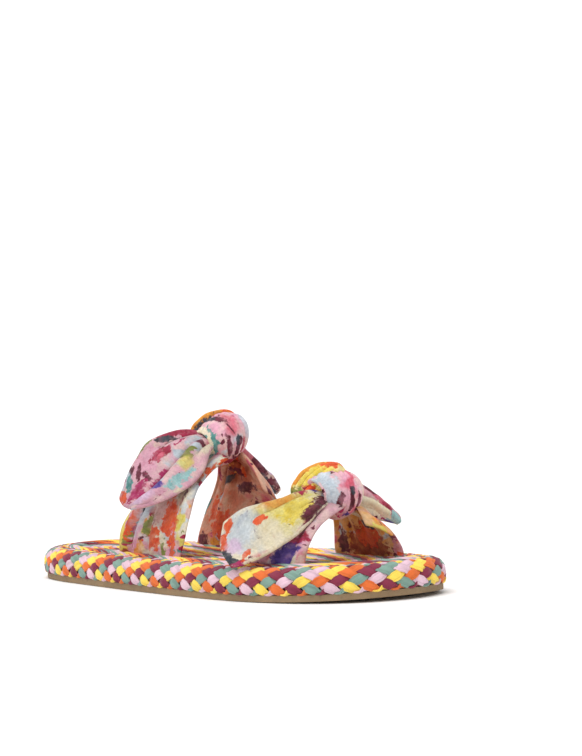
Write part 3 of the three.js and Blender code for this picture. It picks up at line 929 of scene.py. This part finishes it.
REAR_WRAP_DABS = [
    (ROSE, 0.55, 0.36, 4, 6, 0, "soft"), (BURGUNDY, 0.45, 0.22, 1.4, 5, 15),
    (BURGUNDY, 0.62, 0.2, 1.4, 4, -10), (BURGUNDY, 0.45, 0.46, 2, 5, 20), (SLATE, 0.4, 0.52, 2, 4, 0),
    (MIST, 0.85, 0.42, 2.4, 12, 0, "soft"),
    (SLATE, 0.6, 0.24, 1.2, 2.5, 0), (CRIMSON, 0.75, 0.2, 1.2, 4, 10), (BURGUNDY, 0.5, 0.34, 0.8, 3, 30),
    (MIST, 0.93, 0.3, 2.2, 20, 0), (CREAM, 0.16, 0.3, 3.6, 24, 0), (TEAL, 0.1, 0.36, 2.4, 6, 0),
    (TEAL, 0.27, 0.25, 1.2, 14, 0), (CRIMSON, 0.6, 0.08, 8, 2, 0)]
FRONT_WRAP_DABS = [
    (MIST, 0.3, 0.3, 3, 16, 0), (BURGUNDY, 0.4, 0.2, 2, 3.4, 0), (BURGUNDY, 0.6, 0.22, 1.6, 5, 10),
    (SLATE, 0.62, 0.27, 1.3, 1.8, 0), (BURGUNDY, 0.78, 0.2, 1.6, 5, 12), (CREAM, 0.93, 0.2, 2.6, 12, 0),
    (ROSE, 0.7, 0.42, 2, 6, 0), (PURPLE, 0.6, 0.1, 2.5, 1.4, 0)]


# Across the band, from its open end to its root: y, and a share of the radius.
WRAP_PROFILE = [(-8, 0.1), (-10, 0.35), (-13, 0.52), (-12.8, 0.62), (-11.4, 0.6), (-10.8, 0.72),
                (-9.4, 0.69), (-8.4, 0.84), (-5, 0.98), (-2, 1.08), (1, 1.1), (5, 1.0), (8, 0.88),
                (9.6, 0.7), (8.4, 0.4), (7, 0.1)]


def wrap_grid(knot, radius, lean, pinch):
    """The band round a knot, as a closed ring of profiles, narrower under the knot by pinch.

    lean is how far it moves in x and z for each centimetre of y.
    """
    rows, columns = 96, 72
    shape = spline(WRAP_PROFILE, columns)
    turn = np.linspace(-math.pi / 2, 1.5 * math.pi, rows, endpoint=False)[:, None]
    y = shape[None, :, 0] * (1 - pinch * (0.5 - 0.5 * np.sin(turn)))
    r = radius * shape[None, :, 1]
    wobble = 1 + 0.05 * np.sin(2 * turn + 0.7) + 0.03 * np.sin(3 * turn + 2)
    x = r * wobble * np.cos(turn) * 0.92
    z = r * wobble * np.sin(turn) * 1.05
    return knot + np.stack([x + lean[0] * y / CM, y, z + lean[1] * y / CM], axis=-1)


def wrap_folds(grid, folds):
    """Sinks folds that run round the band into it. Each is its place across, sway, width and depth."""
    rows, columns = grid.shape[:2]
    lift = np.zeros((rows, columns))
    turn = np.linspace(0, 1, rows, endpoint=False)[:, None]
    across = np.linspace(0, 1, columns)[None, :]
    for place, sway, width, height in folds:
        middle = place + sway * np.sin(2 * math.pi * turn)
        lift += height * np.exp(-(((across - middle) / width) ** 2))
    ring = np.vstack([grid[-1:], grid, grid[:1]])
    return grid - grid_normals(ring)[1:-1] * lift[..., None]


def wrap_piece(name, node, grid, material, print_size):
    """The knot's wrap: a closed body, whose print covers print_size."""
    rows, columns = grid.shape[:2]
    number = np.arange(rows * columns).reshape(rows, columns)
    faces = quads(np.vstack([number, number[:1]]), flip=True).tolist()
    ends = [number[:, 0].tolist(), number[::-1, -1].tolist()]
    row = np.repeat(np.arange(rows), columns - 1)
    column = np.tile(np.arange(columns - 1), rows)
    width, length = print_size[0] / CM, print_size[1] / CM
    u, v = column / (columns - 1) * width, row / rows * length
    du, dv = width / (columns - 1), length / rows
    uvs = np.vstack([cell_uvs(u, v, u + du, v + dv).reshape(-1, 2), np.zeros((2 * rows, 2))])
    piece = make_mesh(name, grid.reshape(-1, 3), faces + ends, uvs, material)
    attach(piece, "sandal")
    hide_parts(node)


# Each wrap: place, knot, radius, lean, pinch, folds, the size that its print covers, the size that its
# cloth was cut to, and the dabs and seed of its print.
WRAPS = [
    ("rear", REAR + (0, 0, 2.8), 11.0, (1.0, 1.6), 0.25,
     [(0.5, 0.03, 0.02, 0.8), (0.6, -0.04, 0.02, 0.7), (0.7, 0.03, 0.02, 0.8), (0.78, 0.02, 0.02, 0.6)],
     (34, 66), (18, 60), REAR_WRAP_DABS, 31),
    ("front", FRONT, 10.2, (1.0, -1.0), 0.3,
     [(0.5, 0.03, 0.02, 0.7), (0.62, -0.03, 0.02, 0.8), (0.74, 0.03, 0.02, 0.7)],
     (32, 60), (16, 56), FRONT_WRAP_DABS, 33),
]


def knots():
    for place, knot, radius, lean, pinch, folds, size, cut, dabs, seed in WRAPS:
        grid = wrap_folds(wrap_grid(knot, radius, lean, pinch), folds)
        cloth = print_cloth(f"print_{place}_wrap", size, seed, dabs, PINK)
        wrap_piece(f"{place}_wrap", f"{place}_knot", grid, cloth, size)


# Each loop: place, knot, rails, dabs, the base and seed of its print, and its folds.
LOOPS = [
    ("rear", REAR, [
        [(-14.5, -9, 4.5), (-14, -7.5, 9), (-12, -5.5, 12), (-9, -2.5, 15), (-4.5, 2, 16.5),
         (-1, 5.5, 16), (1.5, 8, 13)],
        [(-10, -9, 3), (-10, -7, 5), (-8, -4, 8), (-5, 0, 11), (-2, 4, 12), (0, 6.5, 12), (2, 8, 10)],
        [(-6, -9, 5), (-5.5, -7, 7.5), (-4, -4.5, 9.5), (-1.5, -1, 11.5), (0.5, 2.5, 12), (2, 5, 12),
         (3, 7, 10)]],
     [(AMBER, 0.0, 0.6, 5, 20, 0), (ORANGE, 0.0, 0.9, 4, 7, 0), (SLATE, 0.7, 0.5, 5, 30, 0),
      (SLATE, -0.7, 0.5, 5, 30, 0)], BURGUNDY, 41, []),
    ("front", FRONT, [
        [(-14, -14, -2), (-14, -13.5, 3.5), (-13, -12, 7), (-11, -9.5, 10.5), (-7.5, -5.5, 12.5),
         (-3, 0, 12.5), (0, 4, 11)],
        [(-8, -15, -2), (-7, -14, 1), (-6, -12, 4), (-4, -9, 8), (-1, -5, 11), (1, -1, 12), (2, 3, 10.5)],
        [(-4, -14, -3), (-2.5, -11.5, -1.5), (-1, -9.5, 0), (0.5, -7, 3.5), (2, -4, 7.5),
         (3.5, -1, 9.5), (4, 3, 8)]],
     [(YELLOW, 0.5, 0.5, 8, 9, 0), (ORANGE, 0.4, 0.8, 6, 5, 0), (OLIVE, 0.5, 0.06, 9, 4, 0),
      (ORANGE, 0.85, 0.25, 3, 3.4, 0), (AMBER, 0.1, 0.45, 3, 8, 0)], YELLOW, 43,
     gathers(5, 1.1, 0.0, 1.0)),
]


def top_loops():
    for place, knot, rails, dabs, base, seed, folds in LOOPS:
        grid = loft(knot, rails, along=50, across=30)
        cloth = print_cloth(f"print_{place}_loop", grid_size(grid), seed, dabs, base)
        cloth_piece(f"{place}_loop_cloth", f"{place}_top_loop", grid, LOOP_THICKNESS, folds, cloth, seed,
                    edge=6.0)


# -------- the parts that the frame keeps


# Each moulded solid: node, slot, and its material's name, colour, roughness, pits and their depth.
SOLIDS = [
    ("outsole", "outsole_rubber", "rubber", rgb(150, 126, 96), 0.7, 900.0, 0.0004),
    ("midsole", "midsole_foam", "foam", rgb(214, 200, 176), 0.8, 1400.0, 0.0003),
    ("insole_board", "insole_board", "board", rgb(176, 150, 112), 0.85, 700.0, 0.0003),
]


def repaint(node, material):
    materials = frame["nodes"][node].data.materials
    materials.clear()
    materials.append(material)


def finish_frame_nodes():
    """Materials for the plain solids that stay as they are."""
    for node, slot, *look in SOLIDS:
        repaint(node, moulded(*look))
    tape = print_cloth("tab_cloth", (40, 20), 51, base=CREAM)
    for node in frame["nodes"]:
        if node.endswith("anchor_tab"):
            repaint(node, tape)


# -------- the stage


def soft_sun(name, place, power, spread):
    """A lamp so far off that it lights the whole floor evenly, with soft shadows."""
    data = bpy.data.lights.new(name, "SUN")
    data.energy = power
    data.angle = math.radians(spread)
    lamp = add(name, data)
    lamp.rotation_euler = (-Vector(place)).to_track_quat("-Z", "Y").to_euler()


def make_floor():
    """A pale floor just under the sole."""
    height = CAD_BOX[0].z - 0.0002
    reach = 6.0
    ring = [(-reach, -reach), (reach, -reach), (reach, reach), (-reach, reach)]
    mesh = bpy.data.meshes.new("floor")
    mesh.from_pydata([(x, y, height) for x, y in ring], [], [(0, 1, 2, 3)])
    s = Shader("floor_paint", roughness=0.9, specular=0.1)
    place = s.put("ShaderNodeTexCoord", {}).outputs["Object"]
    shade = s.mix(s.noise(place, 3.0), (0.985, 0.985, 0.985, 1), (0.995, 0.995, 0.995, 1))
    mesh.materials.append(s.finish(shade, s.bump(s.noise(place, 400.0), 0.0001, 0.1)))
    add("floor", mesh)


def make_light():
    """Soft white light all round, whiter where the camera sees it, and one soft lamp."""
    world = bpy.data.worlds.new("studio")
    bpy.context.scene.world = world
    world.use_nodes = True
    tree = world.node_tree
    glow = tree.nodes["Background"]
    glow.inputs[0].default_value = (1.0, 1.0, 1.0, 1.0)
    rays = tree.nodes.new("ShaderNodeLightPath")
    strength = tree.nodes.new("ShaderNodeMapRange")
    strength.inputs["To Min"].default_value = 0.72
    strength.inputs["To Max"].default_value = 1.1
    tree.links.new(rays.outputs["Is Camera Ray"], strength.inputs["Value"])
    tree.links.new(strength.outputs["Result"], glow.inputs["Strength"])
    soft_sun("top_lamp", (0.1, -0.5, 1.4), 1.75, 50)


# The camera's place in metres, where it looks, its turn about its own axis in degrees, and its lens.
CAMERA_AT = (0.958, -0.724, 0.120)
CAMERA_AHEAD = (-0.7804, 0.6248, -0.0223)
CAMERA_ROLL = -2.25
CAMERA_LENS = 124.67


def make_camera():
    """A long lens low over the floor, on the toe's lateral side, turned a little about its own axis."""
    data = bpy.data.cameras.new("camera")
    data.lens = CAMERA_LENS
    data.sensor_width = 36.0
    camera = add("camera", data)
    ahead = Vector(CAMERA_AHEAD).normalized()
    right = ahead.cross(Vector((0, 0, 1))).normalized()
    up = right.cross(ahead)
    roll = math.radians(CAMERA_ROLL)
    rolled_right = math.cos(roll) * right + math.sin(roll) * up
    rolled_up = -math.sin(roll) * right + math.cos(roll) * up
    turned = Matrix((rolled_right, rolled_up, -ahead)).transposed().to_4x4()
    camera.matrix_world = Matrix.Translation(CAMERA_AT) @ turned
    bpy.context.scene.camera = camera


make_camera()
edge_plaits()
footbed_plait()
strap_legs()
knots()
top_loops()
bow_ears()
finish_frame_nodes()
make_floor()
make_light()
bpy.context.scene.view_settings.view_transform = "Standard"
